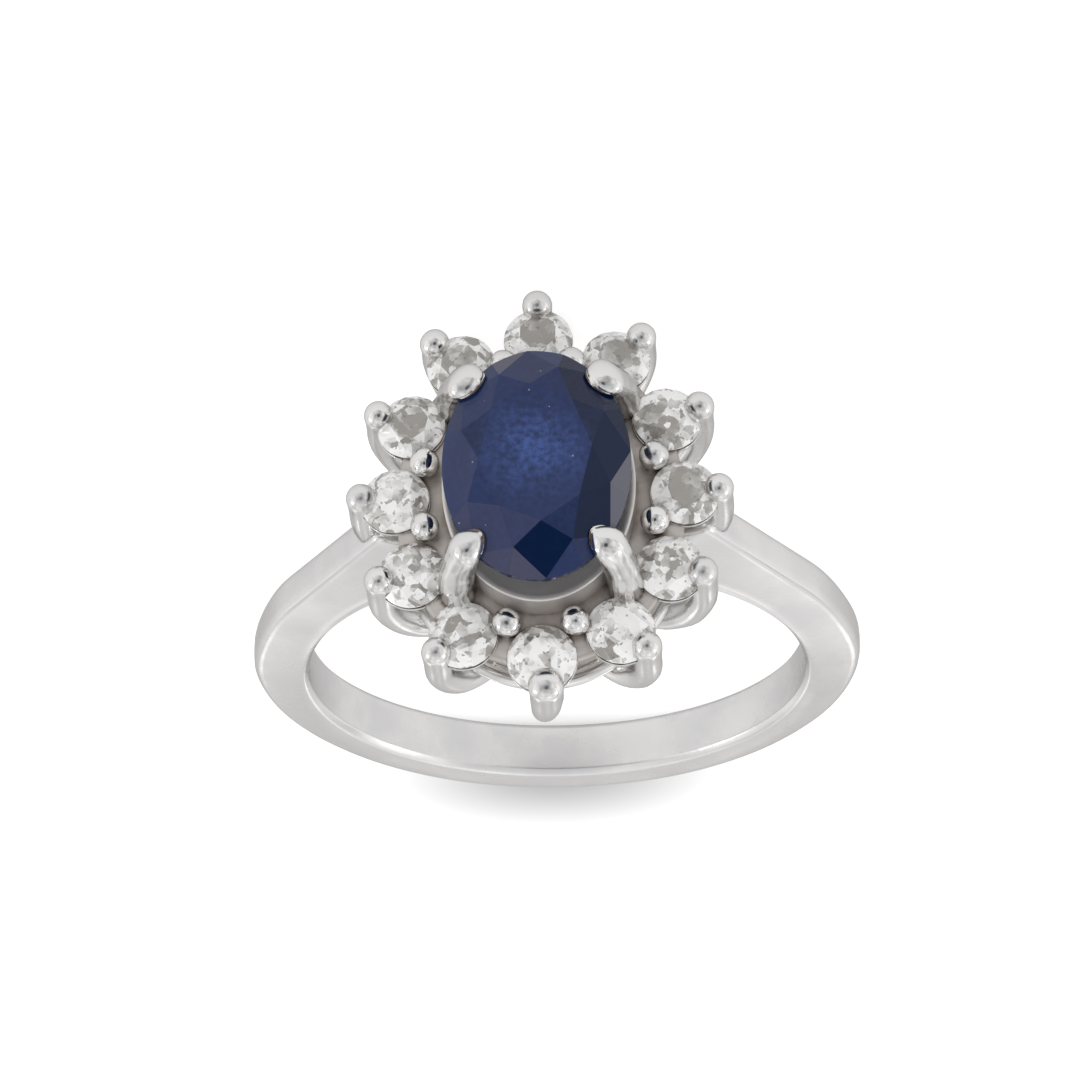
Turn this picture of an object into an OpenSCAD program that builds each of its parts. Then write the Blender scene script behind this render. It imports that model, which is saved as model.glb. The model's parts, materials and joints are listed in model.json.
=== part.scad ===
// Oval cluster ring: a large oval stone in a collet, twelve small round stones round it,
// on a tapered band. The ring lies on its side, on the far outer claw and the edge of the band.

/* [Band] */
// Diameter of the finger hole
finger_d = 16.5; // [14:0.1:21]
// Width of the band where it meets the finger
band_w = 1.9; // [1.5:0.1:3]
// Width of the band's outer face
face_w = 1.25; // [0.8:0.05:1.8]
// Thickness of the band at its two sides
side_t = 1.84; // [1.4:0.02:2.4]
// Thickness of the band opposite the head
base_t = 1.45; // [1:0.05:1.7]
// Bevel along the edges of the finger hole
edge_bevel = 0.16; // [0.05:0.01:0.3]
// How far below the finger's centre the slant of the flanks is centred
flank_drop = 0.8; // [0.2:0.1:1.2]
// Angle from the head at which each shoulder leaves the round of the band
shoulder_angle = 58; // [50:1:66]

/* [Large stone] */
// Length of the oval stone
oval_l = 8; // [7:0.1:10]
// Width of the oval stone
oval_w = 6; // [5:0.1:7.5]
// Height of the oval stone's girdle above the small stones' girdles
oval_rise = 2.28; // [1.8:0.05:3]
// Share of the oval stone's width that its table takes
oval_table = 0.6; // [0.5:0.01:0.7]

/* [Small stones] */
// Diameter of a small stone
round_d = 2.2; // [1.8:0.05:2.4]
// Distance from the edge of the large stone out to the small stones' centres
round_out = 1.63; // [1.5:0.01:2]
// Height of the small stones' girdles above the finger hole
round_rise = 3.66; // [3.3:0.05:5]
// Angle that each small stone leans outwards
round_lean = 7; // [0:1:15]
// Share of a small stone's width that its table takes
round_table = 0.56; // [0.5:0.01:0.65]

/* [Claws] */
// Diameter of an outer claw at its ball end
claw_d = 0.98; // [0.7:0.02:1.1]
// Radius of the curl of an outer claw, in below its stone
claw_curl = 1.7; // [1.4:0.1:2]
// How strongly the outer claws fan out towards the two sides
claw_fan = 1.9; // [1:0.1:2.2]
// Diameter of an inner bead
bead_d = 0.9; // [0.7:0.02:1]
// Diameter of a main claw
main_d = 1.08; // [0.8:0.02:1.3]
// Length of the hook of a main claw
hook_l = 0.25; // [0.1:0.05:0.6]

/* [Head] */
// How far the collet reaches past the edge of the large stone
collet_wall = 0.12; // [0.06:0.01:0.3]
// How far the rim of the collet lies below the large stone's girdle
rim_drop = 1.2; // [0.8:0.05:1.4]
// How much further out a main claw stands at its foot than at its head
main_splay = 0.5; // [0.3:0.05:0.6]
// Thickness of the deck that joins the seats
deck_t = 0.4; // [0.3:0.05:0.6]
// How far the rim of a seat lies below the stone's girdle
seat_low = 0.07; // [0.05:0.01:0.12]
// Depth of a seat below a small stone's girdle
seat_h = 0.85; // [0.6:0.05:1.1]
// How far the underside of the gallery wire lies below the small stones' girdles
gallery_drop = 2.6; // [2.4:0.05:2.8]
// Height of the gallery wire
gallery_h = 0.56; // [0.4:0.02:0.9]
// Thickness of the gallery wire
gallery_w = 0.5; // [0.3:0.02:0.8]
// Height of the rail that joins the feet of the outer claws
rail_h = 0.55; // [0.4:0.05:0.7]
// Width of that rail
rail_w = 0.6; // [0.4:0.05:0.8]
// Gap that the rail keeps above the finger
rail_gap = 0.2; // [0.1:0.05:0.3]
// Clearance between a stone and the metal
stone_gap = 0.03; // [0.02:0.01:0.06]

/* [Hidden] */
$fn = 48;

per_quarter = 3;
around = 4 * per_quarter;
bore_r = finger_d / 2;
side_r = bore_r + side_t;
base_r = bore_r + base_t;
flank_r = bore_r + 0.2 * side_t;
round_r = round_d / 2;
oval_a = oval_w / 2;
oval_b = oval_l / 2;

// The ovals that the small stones and the inner beads stand on
ring_a = oval_a + round_out;
ring_b = oval_b + round_out;
bead_in = 0.7 * round_out;

// Heights above the centre of the finger hole
round_z = bore_r + round_rise;
oval_z = round_z + oval_rise;
bridge_z = bore_r + base_t;
gallery_z = round_z - gallery_drop;
collet_top = oval_z - rim_drop;

// Angles of the cut stones, in degrees from the girdle plane
crown_deg = 35;
pavilion_deg = 41;
oval_crown_deg = 37;
oval_pavilion_deg = 42;
girdle = 0.04;

// Angle and place of the thing number k of the row of small stones; halves are the gaps between them
quarter = [for (t = 0, s = 0; t <= 90; s = s + step_at(t + 0.5), t = t + 1) [s, t]];
function step_at(t) = norm([ring_a * cos(t), ring_b * sin(t)]) * PI / 180;
function spread(share) = lookup(share * quarter[90][0], quarter);
function turn(k) = let (q = floor(k / per_quarter), s = k / per_quarter - q)
    90 * q + (q % 2 == 0 ? spread(s) : 90 - spread(1 - s));
function on_ring(k, inset = 0) = [(ring_a - inset) * sin(turn(k)), (ring_b - inset) * cos(turn(k)), 0];
function fan(k) = atan2(claw_fan * sin(turn(k)), cos(turn(k)));

// An outer claw: the ball at its top, its wire's radius, and the height of its foot above the finger
ball_z = round_z + 0.16 * round_d;
wire_r = 0.46 * claw_d;
function foot_z(k) = let (x = on_ring(k)[0] + (round_r - claw_curl) * sin(fan(k)))
    sqrt(pow(bore_r + rail_gap + 0.4 * claw_d, 2) - x * x);

// How the ring lies: the far claw and the lower corner of the band touch the ground
corner_y = band_w / 2 - (band_w - face_w) / 2 * max(0, base_r - flank_drop - flank_r) / (side_r - flank_r);
function lean_on(out, z, r) = let (y = ring_b + out - corner_y, up = z + base_r)
    atan2(y, up) + asin(r / norm([y, up]));
lie = max(lean_on(round_r, ball_z, claw_d / 2), max([for (t = [0:90])
    lean_on(round_r - claw_curl * (1 - cos(t)), foot_z(0) + claw_curl * (1 - sin(t)), wire_r)]));
lie_z = corner_y * cos(lie) + base_r * sin(lie);
head_end = (oval_z + main_d) * cos(lie) + oval_b * 0.7 * sin(lie);
base_end = base_r * cos(lie) + corner_y * sin(lie);
lie_y = (head_end - base_end) / 2;

module lay() translate([0, lie_y, lie_z]) rotate([90 - lie, 0, 0]) rotate([0, 0, 180]) children();

// Puts a thing at small stone number k, with +Y pointing outwards
module at_stone(k) translate(on_ring(k) + [0, 0, round_z]) rotate([0, 0, -fan(k)]) children();

// The band: its front outline, pushed through and trimmed by the turned flanks
module flanks() {
    front = [[0, band_w / 2], [flank_r, band_w / 2], [side_r, face_w / 2], [2 * side_r, face_w / 2]];
    rotate_extrude($fn = 96)
        polygon(concat(front, [for (i = [len(front) - 1:-1:0]) [front[i][0], -front[i][1]]]));
}

module band_outline() {
    base_drop = (side_r * side_r - base_r * base_r) / (2 * base_r);
    leave = side_r * [sin(shoulder_angle), cos(shoulder_angle)];
    top_z = round_z - 0.64 * round_d;
    top_x = leave[0] - (top_z - leave[1]) / tan(shoulder_angle);
    difference() {
        union() {
            intersection() {
                circle(side_r);
                translate([-side_r, 0]) square([2 * side_r, bridge_z]);
            }
            intersection() {
                translate([0, base_drop]) circle(norm([side_r, base_drop]));
                translate([-2 * side_r, -2 * side_r]) square([4 * side_r, 2 * side_r]);
            }
            for (side = [-1, 1])
                polygon([[side * leave[0], leave[1]], [side * top_x, top_z],
                         [side * (top_x - side_t), top_z - 0.4 * side_t],
                         [side * bore_r / 3, bore_r], [side * bore_r * 0.8, bore_r * 0.8]]);
        }
        circle(bore_r);
    }
}

module band() rotate([90, 0, 0]) difference() {
    intersection() {
        linear_extrude(2 * band_w, center = true) band_outline();
        translate([0, -flank_drop, 0]) flanks();
    }
    for (end = [0, 1]) mirror([0, 0, end]) translate([0, 0, band_w / 2 - edge_bevel])
        cylinder(h = 2 * edge_bevel, r1 = bore_r, r2 = bore_r + 2 * edge_bevel, $fn = 96);
}

// A round wire along a row of points, with a ball at each point; radii has one size a point
module wire(points, radii) {
    for (i = [0:len(points) - 1]) translate(points[i]) sphere(radii[i], $fn = 32);
    for (i = [1:len(points) - 1]) {
        way = points[i] - points[i - 1];
        translate(points[i - 1]) rotate([0, acos(way[2] / norm(way)), atan2(way[1], way[0])])
            cylinder(h = norm(way), r1 = 0.96 * radii[i - 1], r2 = 0.96 * radii[i], $fn = 32);
    }
}

// An outer claw: its ball, a straight drop, then a quarter turn in to its foot
module outer_claw(k) at_stone(k) {
    bend_z = foot_z(k) - round_z + claw_curl;
    translate([0, round_r, ball_z - round_z]) sphere(claw_d / 2, $fn = 32);
    translate([0, round_r, bend_z]) cylinder(h = ball_z - round_z - bend_z, r = wire_r, $fn = 32);
    translate([0, round_r - claw_curl, bend_z]) rotate([-90, 0, 90])
        rotate_extrude(angle = 90, $fn = 64) translate([claw_curl, 0]) circle(wire_r, $fn = 32);
}

module bead(k) {
    p = on_ring(k, bead_in);
    foot = [p[0], p[1], round_z - deck_t / 2];
    wire([foot, foot + [0.08 * p[0], 0.06 * p[1], deck_t / 2 + 0.32 * round_d]], [0.46 * bead_d, 0.5 * bead_d]);
}

// Where a main claw stands at the edge of the large stone, and the way out from the stone there
function corner(k) = [sign(sin(turn(k))) * oval_a, sign(cos(turn(k))) * oval_b, 0] * sin(45);
function outward(k) = [sign(sin(turn(k))) * oval_b, sign(cos(turn(k))) * oval_a, 0] / norm([oval_a, oval_b]);

// A main claw: up past the edge of the large stone, then over it, cut clear of the stone
module main_claw(k) difference() {
    way = outward(k);
    foot = corner(k) + (main_splay + 0.2 * main_d) * way + [0, 0, gallery_z + gallery_h];
    top = corner(k) + 0.2 * main_d * way + [0, 0, oval_z + 0.25 * main_d];
    tip = top + hook_l * ([0, 0, sin(oval_crown_deg)] - cos(oval_crown_deg) * way);
    shelf = girdle * oval_w + 2 * stone_gap;
    wire([foot, top, tip], [0.46 * main_d, 0.5 * main_d, 0.42 * main_d]);
    translate(corner(k) + [0, 0, oval_z]) rotate([90, 0, atan2(way[1], way[0])])
        linear_extrude(3 * main_d, center = true)
            polygon([[stone_gap, -3 * main_d], [stone_gap, shelf],
                     [-2 * main_d, shelf + 2 * main_d * tan(oval_crown_deg)], [-2 * main_d, -3 * main_d]]);
}

module oval(grow) polygon([for (i = [0:$fn - 1]) [(oval_a + grow) * sin(i * 360 / $fn), (oval_b + grow) * cos(i * 360 / $fn)]]);

// The collet: a straight wall above the deck, on a narrower neck below it
module collet() {
    neck_z = bridge_z - 0.5;
    translate([0, 0, round_z - deck_t / 2]) linear_extrude(collet_top - round_z + deck_t / 2) oval(collet_wall);
    translate([0, 0, neck_z]) linear_extrude(round_z - 0.3 * deck_t - neck_z) oval(collet_wall - 0.26);
}

module deck() translate([0, 0, round_z - deck_t]) linear_extrude(deck_t) oval(round_out - 0.15 * round_r);

module seat(k) at_stone(k) rotate([-round_lean, 0, 0]) translate([0, 0, -seat_h])
    cylinder(h = seat_h - seat_low, r1 = 0.8 * round_r, r2 = round_r + 0.02, $fn = 32);

module gallery() translate([0, 0, gallery_z]) linear_extrude(gallery_h) difference() {
    oval(round_out + 0.05);
    oval(round_out + 0.05 - gallery_w);
}

// The rail that joins the feet of the outer claws, curved to clear the finger
module rail() intersection() {
    linear_extrude(round_z) difference() {
        oval(round_out + round_r - claw_curl);
        oval(round_out + round_r - claw_curl - rail_w);
    }
    rotate([90, 0, 0]) difference() {
        cylinder(h = 2 * oval_l, r = bore_r + rail_gap + rail_h, center = true, $fn = 96);
        cylinder(h = 3 * oval_l, r = bore_r + rail_gap, center = true, $fn = 96);
    }
}

// Space cut for a small stone, clear of its facets' edges, with a light hole below it
module round_space() {
    r = round_r + stone_gap;
    hole_r = 0.48 * r;
    crown_h = r * (1 - round_table) * tan(crown_deg) + 2 * stone_gap;
    rotate_extrude($fn = 32)
        polygon([[0, -2 * seat_h], [hole_r, -2 * seat_h], [hole_r, -0.55 * r * tan(pavilion_deg)],
                 [r, 0], [r, girdle * round_d + 2 * stone_gap], [round_table * r, girdle * round_d + crown_h],
                 [0, girdle * round_d + crown_h]]);
}

// Space cut for the oval stone, clear of its facets' edges, with a light hole below it
module oval_space() {
    pavilion_h = oval_a * tan(oval_pavilion_deg);
    translate([0, 0, oval_z]) hull() {
        translate([0, 0, -stone_gap]) linear_extrude(girdle * oval_w + 2 * stone_gap) oval(stone_gap);
        translate([0, 0, -0.6 * pavilion_h]) linear_extrude(stone_gap) scale(0.42) oval(2 * stone_gap);
        translate([0, 0, girdle * oval_w + (1 - oval_table) * oval_a * tan(oval_crown_deg) + stone_gap])
            linear_extrude(stone_gap) scale(oval_table) oval(2 * stone_gap);
    }
    translate([0, 0, bore_r]) linear_extrude(oval_z - bore_r) scale(0.55) oval(0);
}

// The middle of the head, open below the large stone
module centre() difference() {
    union() {
        collet();
        deck();
    }
    oval_space();
}

module ring_mount() color("gainsboro") lay() {
    difference() {
        union() {
            centre();
            gallery();
            rail();
            for (k = [0:around - 1]) {
                seat(k);
                outer_claw(k);
            }
            for (k = [0:around - 1])
                if (k % per_quarter == 1) main_claw(k + 0.5);
                else bead(k + 0.5);
        }
        for (k = [0:around - 1]) at_stone(k) rotate([-round_lean, 0, 0]) round_space();
    }
    band();
}

// A brilliant cut of radius r: points on its facets' corners, wrapped
module brilliant(r, table, crown, pavilion, star = 0.55, lower = 0.24) {
    top = girdle * 2 * r;
    star_r = table * r + (1 - table) * r * star;
    rise = function (d, turn, deg) (r - d * cos(turn)) * tan(deg);
    points = concat(
        [for (i = [0:7]) [table * r * cos(45 * i), table * r * sin(45 * i), top + rise(table * r, 0, crown)]],
        [for (i = [0:7]) [star_r * cos(45 * i + 22.5), star_r * sin(45 * i + 22.5), top + rise(star_r, 22.5, crown)]],
        [for (i = [0:15]) for (z = [0, top]) [r * cos(22.5 * i), r * sin(22.5 * i), z]],
        [for (i = [0:7]) [lower * r * cos(45 * i + 22.5), lower * r * sin(45 * i + 22.5), -rise(lower * r, 22.5, pavilion)]],
        [for (i = [0:7]) [0.03 * r * cos(45 * i), 0.03 * r * sin(45 * i), -rise(0.03 * r, 0, pavilion)]]);
    hull() polyhedron(points, [[for (i = [0:len(points) - 1]) i]]);
}

module sapphire() color("midnightblue") lay()
    translate([0, 0, oval_z]) scale([1, oval_l / oval_w, 1])
        brilliant(oval_a, oval_table, oval_crown_deg, oval_pavilion_deg);

module diamond(k) color("white") lay()
    at_stone(k) rotate([-round_lean, 0, 0]) brilliant(round_r, round_table, crown_deg, pavilion_deg);

ring_mount();
sapphire();
diamond(0);  // diamond_01
diamond(1);  // diamond_02
diamond(2);  // diamond_03
diamond(3);  // diamond_04
diamond(4);  // diamond_05
diamond(5);  // diamond_06
diamond(6);  // diamond_07
diamond(7);  // diamond_08
diamond(8);  // diamond_09
diamond(9);  // diamond_10
diamond(10);  // diamond_11
diamond(11);  // diamond_12
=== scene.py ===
# Oval cluster ring lying on its side: an oval sapphire in a collet, twelve diamonds round it.
# Sizes are in millimetres in the ring's own standing frame, with X to the right, Y along the
# finger and Z towards the head, from the middle of the finger hole. layDown puts them in place.
import json
import math
import random

import bmesh
import bpy
from mathutils import Matrix, Vector, noise
from mathutils.bvhtree import BVHTree


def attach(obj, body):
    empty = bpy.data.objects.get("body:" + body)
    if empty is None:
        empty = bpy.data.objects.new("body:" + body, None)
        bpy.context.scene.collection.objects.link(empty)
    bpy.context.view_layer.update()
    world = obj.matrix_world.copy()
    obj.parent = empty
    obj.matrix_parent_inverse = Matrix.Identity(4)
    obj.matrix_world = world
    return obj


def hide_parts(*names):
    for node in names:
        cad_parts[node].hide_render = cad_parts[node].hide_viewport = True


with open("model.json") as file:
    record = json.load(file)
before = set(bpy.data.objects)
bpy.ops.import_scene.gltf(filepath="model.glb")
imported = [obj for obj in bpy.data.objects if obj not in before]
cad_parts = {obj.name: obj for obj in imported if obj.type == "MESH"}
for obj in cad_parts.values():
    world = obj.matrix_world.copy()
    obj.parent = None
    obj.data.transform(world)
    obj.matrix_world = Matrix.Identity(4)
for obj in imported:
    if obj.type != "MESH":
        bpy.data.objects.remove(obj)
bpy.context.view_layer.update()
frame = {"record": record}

mm = 0.001
hole = frame["record"]["mounts"][0]
ringX = Vector((-1, 0, 0))
ringY = -Vector(hole["axis"]).normalized()
ringZ = ringX.cross(ringY)
ringTurn = Matrix((ringX, ringY, ringZ)).transposed()
layDown = Matrix.Translation(hole["pos_m"]) @ ringTurn.to_4x4() @ Matrix.Scale(mm, 4)

layout = {
    "boreR": 8.25,  # finger hole
    "ovalA": 3.0, "ovalB": 4.0, "ovalZ": 14.19,  # large stone: half width, half length, girdle height
    "rowOut": 1.63, "rowZ": 11.91, "perQuarter": 3,  # row of small stones
    "lean": 7, "clawFan": 1.9,  # tilt of the small stones, and how far the outer claws fan out
    "turnSteps": 900,
}


# the row round the large stone

def ovalPoint(grow, turn):
    return Vector(((layout["ovalA"] + grow) * math.sin(turn), (layout["ovalB"] + grow) * math.cos(turn), 0))


def evenTurns():
    # how far along a quarter of the row each small step gets, as a share of the quarter
    a, b = layout["ovalA"] + layout["rowOut"], layout["ovalB"] + layout["rowOut"]
    run = [0.0]
    for i in range(layout["turnSteps"]):
        t = (i + 0.5) / layout["turnSteps"] * math.pi / 2
        run.append(run[-1] + math.hypot(a * math.cos(t), b * math.sin(t)))
    return [s / run[-1] for s in run]


quarterRun = evenTurns()


def rowTurn(k):
    quarter, share = divmod(k / layout["perQuarter"], 1)
    aim = share if quarter % 2 == 0 else 1 - share
    i = next(i for i, s in enumerate(quarterRun) if s >= aim - 1e-9)
    t = i / (len(quarterRun) - 1)
    return (quarter + (t if quarter % 2 == 0 else 1 - t)) * math.pi / 2


def rowPoint(k, inset=0.0):
    return ovalPoint(layout["rowOut"] - inset, rowTurn(k)) + Vector((0, 0, layout["rowZ"]))


def fanTurn(k):
    t = rowTurn(k)
    return math.atan2(layout["clawFan"] * math.sin(t), math.cos(t))


def facingOut(k):
    return Matrix.Translation(rowPoint(k)) @ Matrix.Rotation(-fanTurn(k), 4, "Z")


def atStone(k):
    return facingOut(k) @ Matrix.Rotation(math.radians(-layout["lean"]), 4, "X")


stoneCount = 4 * layout["perQuarter"]
clawGaps = [k + 0.5 for k in range(stoneCount) if k % layout["perQuarter"] == 1]
beadGaps = [k + 0.5 for k in range(stoneCount) if k % layout["perQuarter"] != 1]


# nodes of materials and geometry trees

def fillSockets(tree, node, sockets):
    # sockets: by name or number, a value to hold or another node's output to link
    for label, value in sockets.items():
        if isinstance(value, bpy.types.NodeSocket):
            tree.links.new(value, node.inputs[label])
        else:
            node.inputs[label].default_value = value


def addNode(tree, kind, sockets={}, **settings):
    node = tree.nodes.new(kind)
    for label, value in settings.items():
        setattr(node, label, value)
    fillSockets(tree, node, sockets)
    return node


def calculate(tree, operation, *values):
    return addNode(tree, "ShaderNodeMath", dict(enumerate(values)), operation=operation).outputs[0]


def remap(tree, value, spread, onto=(0, 1), interpolation="LINEAR"):
    sockets = {"Value": value, "From Min": spread[0], "From Max": spread[1], "To Min": onto[0], "To Max": onto[1]}
    return addNode(tree, "ShaderNodeMapRange", sockets, interpolation_type=interpolation).outputs["Result"]


def blend(tree, share, a, b):
    return addNode(tree, "ShaderNodeMix", {"Factor": share, "A": a, "B": b}, data_type="RGBA").outputs["Result"]


def readPlace(tree, kind="Object"):
    return addNode(tree, "ShaderNodeTexCoord").outputs[kind]


def readAttribute(tree, name):
    return addNode(tree, "ShaderNodeAttribute", attribute_name=name).outputs["Fac"]


def addNoise(tree, place, scale, detail=2, roughness=0.5, output="Fac"):
    sockets = {"Vector": place, "Scale": scale, "Detail": detail, "Roughness": roughness}
    return addNode(tree, "ShaderNodeTexNoise", sockets).outputs[output]


def toneRamp(tree, value, tones):
    ramp = addNode(tree, "ShaderNodeValToRGB", {"Fac": value})
    first, last = ramp.color_ramp.elements
    first.position, first.color = tones[0]
    last.position, last.color = tones[-1]
    for spot, colour in tones[1:-1]:
        ramp.color_ramp.elements.new(spot).color = colour
    return ramp.outputs["Color"]


# materials

# metal looks: open and tinted are the gold's own tones, mixed in random clouds; deep is the colour of the painted
# shade, reached as the occlusion runs from start to end
metalLook = {
    "grain": 2600, "depth": 0.10, "smooth": 0.10, "rough": 0.26,
    "open": (0.91, 0.90, 0.885, 1), "tinted": (0.84, 0.835, 0.83, 1), "deep": (0.17, 0.125, 0.09, 1),
    "start": 0.46, "end": 0.94, "metal": 1, "outline": (0.62, 0.61, 0.60, 1), "tintSpread": (0.38, 0.62),
}
clawLook = dict(metalLook, smooth=0.15, rough=0.32)
bandLook = dict(metalLook, grain=3400, depth=0.06, smooth=0.20, rough=0.38,
                open=(0.945, 0.935, 0.92, 1), tinted=(0.85, 0.84, 0.845, 1))
satinLook = dict(metalLook, depth=0.20, smooth=0.28, rough=0.46, open=(0.86, 0.835, 0.81, 1), metal=0.6,
                 tinted=(0.72, 0.68, 0.65, 1), deep=(0.15, 0.11, 0.085, 1), start=0.58, end=1.02)
# painted shade: the deck under the row of stones gets a darker, browner copy of the satin gold
shadedDeckLook = dict(satinLook, open=(0.62, 0.585, 0.55, 1), tinted=(0.47, 0.43, 0.40, 1),
                deep=(0.12, 0.085, 0.06, 1), start=0.32, end=0.86)
polishMarks = {"cloudScale": 420, "cloudDetail": 3, "cloudSpread": (0.35, 0.7), "grainDetail": 4, "bump": 0.05 * mm}
occlusionShadePatches = {"scale": 1500, "detail": 5, "swing": 0.5}

sapphireLook = {
    # painted reflections: colours from the darkest facets to the palest, by facet tone
    "tones": [(0.0, (0.0005, 0.010, 0.045, 1)), (0.2, (0.005, 0.010, 0.036, 1)), (0.55, (0.017, 0.032, 0.110, 1)),
              (0.75, (0.055, 0.054, 0.100, 1)), (1.0, (0.150, 0.150, 0.175, 1))],
    # silk: fine threads and flecks, strongest at the heart of the stone and absent from its dark facets
    "silk": (0.065, 0.125, 0.39, 1), "silkScale": 560, "silkDetail": 6, "silkRough": 0.6, "fleckScale": 5200,
    "threads": (0.16, 0.42), "heart": (-0.1, 0.15, 0.9), "heartR": 2.1, "heartSilk": (0.10, 0.9), "clear": 0.4,
    "dust": (0.30, 0.32, 0.40, 1), "dustScale": 1500, "dustSize": 0.055,
    "through": 0.1, "ior": 1.77, "gloss": 0.12, "rough": 0.06,
}
diamondLook = {
    # painted reflections: white, with broken patches of grey and a few dark sparks where the facets below would
    # throw back darker things
    "white": (0.95, 0.945, 0.935, 1), "greyReflection": (0.23, 0.21, 0.185, 1), "darkReflection": (0.06, 0.055, 0.05, 1),
    "bendScale": 3080, "bend": 0.35 * mm, "cellScale": 3500, "cellShare": 0.70, "cloudScale": 1400, "cloudDetail": 4,
    "greyReflectionSpread": (0.88, 1.55), "darkReflectionScale": 6200, "darkReflectionDetail": 1, "darkReflectionSpread": (0.64, 0.74), "darkReflectionMost": 0.7,
    # glow: painted light, the stone's own tone glowing faintly so that it reads white
    "through": 0.22, "ior": 2.417, "gloss": 0.5, "rough": 0.04, "glow": 0.13,
}


def newMaterial(name):
    material = bpy.data.materials.new(name)
    material.use_nodes = True
    return material, material.node_tree, material.node_tree.nodes["Principled BSDF"]


def newGroup(name, inputs, outputs):
    tree = bpy.data.node_groups.new(name, "ShaderNodeTree")
    for label, kind, value in inputs:
        tree.interface.new_socket(label, in_out="INPUT", socket_type=kind).default_value = value
    for label, kind in outputs:
        tree.interface.new_socket(label, in_out="OUTPUT", socket_type=kind)
    return tree, tree.nodes.new("NodeGroupInput").outputs, tree.nodes.new("NodeGroupOutput")


def buildPolishGroup(marks):
    tree, ins, outs = newGroup(
        "polishMarks",
        [("Grain", "NodeSocketFloat", 2600), ("Depth", "NodeSocketFloat", 0.1),
         ("Smooth", "NodeSocketFloat", 0.1), ("Rough", "NodeSocketFloat", 0.25)],
        [("Roughness", "NodeSocketFloat"), ("Normal", "NodeSocketVector"), ("Cloud", "NodeSocketFloat")])
    place = readPlace(tree)
    cloud = addNoise(tree, place, marks["cloudScale"], marks["cloudDetail"])
    grain = addNoise(tree, place, ins["Grain"], marks["grainDetail"])
    lift = addNode(tree, "ShaderNodeBump", {"Distance": marks["bump"], "Strength": ins["Depth"], "Height": grain})
    rough = remap(tree, cloud, marks["cloudSpread"], (ins["Smooth"], ins["Rough"]))
    fillSockets(tree, outs, {"Roughness": rough, "Normal": lift.outputs["Normal"], "Cloud": cloud})
    return tree


# painted shade: the gold darkens towards the deep colour where the occlusion attribute says it is closed in, made
# uneven by noise; the warm brown of the deep colour is also a tarnish tint
def buildOcclusionShadeGroup(patches):
    tree, ins, outs = newGroup(
        "occlusionShadeTone",
        [("Open", "NodeSocketColor", (1, 1, 1, 1)), ("Deep", "NodeSocketColor", (0, 0, 0, 1)),
         ("OcclusionShade", "NodeSocketFloat", 0), ("Start", "NodeSocketFloat", 0.3), ("End", "NodeSocketFloat", 1)],
        [("Color", "NodeSocketColor"), ("Mask", "NodeSocketFloat")])
    patch = addNoise(tree, readPlace(tree), patches["scale"], patches["detail"])
    uneven = calculate(tree, "MULTIPLY_ADD", patch, patches["swing"], -patches["swing"] / 2)
    mask = remap(tree, calculate(tree, "ADD", ins["OcclusionShade"], uneven), (ins["Start"], ins["End"]),
                 interpolation="SMOOTHSTEP")
    fillSockets(tree, outs, {"Color": blend(tree, mask, ins["Open"], ins["Deep"]), "Mask": mask})
    return tree


def buildWhiteGold(name, look):
    material, tree, shader = newMaterial(name)
    marks = addNode(tree, "ShaderNodeGroup", {
        "Grain": look["grain"], "Depth": look["depth"], "Smooth": look["smooth"], "Rough": look["rough"],
    }, node_tree=polishGroup).outputs
    clouded = blend(tree, remap(tree, marks["Cloud"], look["tintSpread"]), look["open"], look["tinted"])
    # painted shade in hollows and at contacts, from the occlusion attribute, over the gold's own clouded tone
    tone = addNode(tree, "ShaderNodeGroup", {
        "Open": clouded, "Deep": look["deep"], "OcclusionShade": readAttribute(tree, "occlusionShade"),
        "Start": look["start"], "End": look["end"],
    }, node_tree=occlusionShadeGroup).outputs
    fillSockets(tree, shader, {
        "Base Color": tone["Color"], "Metallic": look["metal"], "Specular Tint": look["outline"],
        "Roughness": marks["Roughness"], "Normal": marks["Normal"]})
    return material


def shadeStone(tree, shader, look, colour):
    fillSockets(tree, shader, {
        "Base Color": colour, "Roughness": look["rough"], "IOR": look["ior"],
        "Specular IOR Level": look["gloss"], "Transmission Weight": look["through"]})


def buildSapphire(look):
    material, tree, shader = newMaterial("blueSapphire")
    place, facet = readPlace(tree), readAttribute(tree, "paintedFacetTone")
    silk = addNoise(tree, place, look["silkScale"], look["silkDetail"], look["silkRough"])
    fleck = addNoise(tree, place, look["fleckScale"])
    threads = remap(tree, calculate(tree, "MULTIPLY", silk, fleck), look["threads"])
    heart = layDown @ (Vector(look["heart"]) + Vector((0, 0, layout["ovalZ"])))
    away = addNode(tree, "ShaderNodeVectorMath", {0: place, 1: heart}, operation="DISTANCE").outputs["Value"]
    near = remap(tree, away, (look["heartR"] * mm, 0), look["heartSilk"])
    clear = remap(tree, facet, (0, look["clear"]))
    share = calculate(tree, "MULTIPLY", calculate(tree, "MULTIPLY", threads, near), clear)
    # painted reflections: the facet tones pick a dark or pale colour for each facet
    tone = blend(tree, share, toneRamp(tree, facet, look["tones"]), look["silk"])
    dust = addNode(tree, "ShaderNodeTexVoronoi", {"Vector": place, "Scale": look["dustScale"]}).outputs["Distance"]
    speck = remap(tree, dust, (look["dustSize"], look["dustSize"] * 0.5))
    shadeStone(tree, shader, look, blend(tree, speck, tone, look["dust"]))
    return material


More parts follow.
